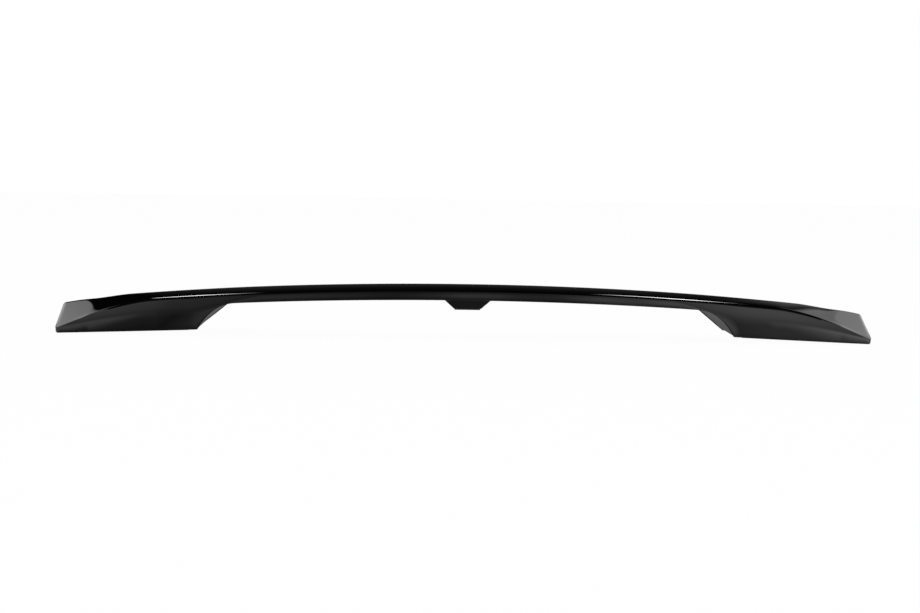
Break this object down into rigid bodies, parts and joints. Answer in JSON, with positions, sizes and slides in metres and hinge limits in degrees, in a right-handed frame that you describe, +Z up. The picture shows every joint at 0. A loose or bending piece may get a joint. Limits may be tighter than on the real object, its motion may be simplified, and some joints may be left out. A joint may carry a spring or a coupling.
{
  "type": "rear spoiler",
  "caption": "Boot-lid rear spoiler: slender arched gloss-black blade on two wrapped-down end feet and a short centre foot, screwed together and bolted from below.",
  "frame": {"origin": "middle of the bounding box at its lowest level: on the car's centre plane, level with the outer edges of the foam pads", "axes": "+X to the right seen from behind the car, +Y towards the front of the car, +Z up"},
  "size_m": [1.2698, 0.1667, 0.0855],
  "materials": {
    "painted_skin": "gloss black paint with clear coat on moulded plastic",
    "satin_plastic": "satin moulded black plastic, as it leaves the mould",
    "foam": "closed-cell foam, dull dark grey",
    "brass": "turned brass",
    "zinc_steel": "zinc plated steel"
  },
  "bodies": {
    "root": {"upper_shell": "painted_skin", "lower_panel": "satin_plastic", "centre_foot": "satin_plastic", "foot_pad_left": "foam", "foot_pad_right": "foam", "centre_pad": "foam", "thread_inserts": "brass", "assembly_screws": "zinc_steel"}
  },
  "joints": []
}
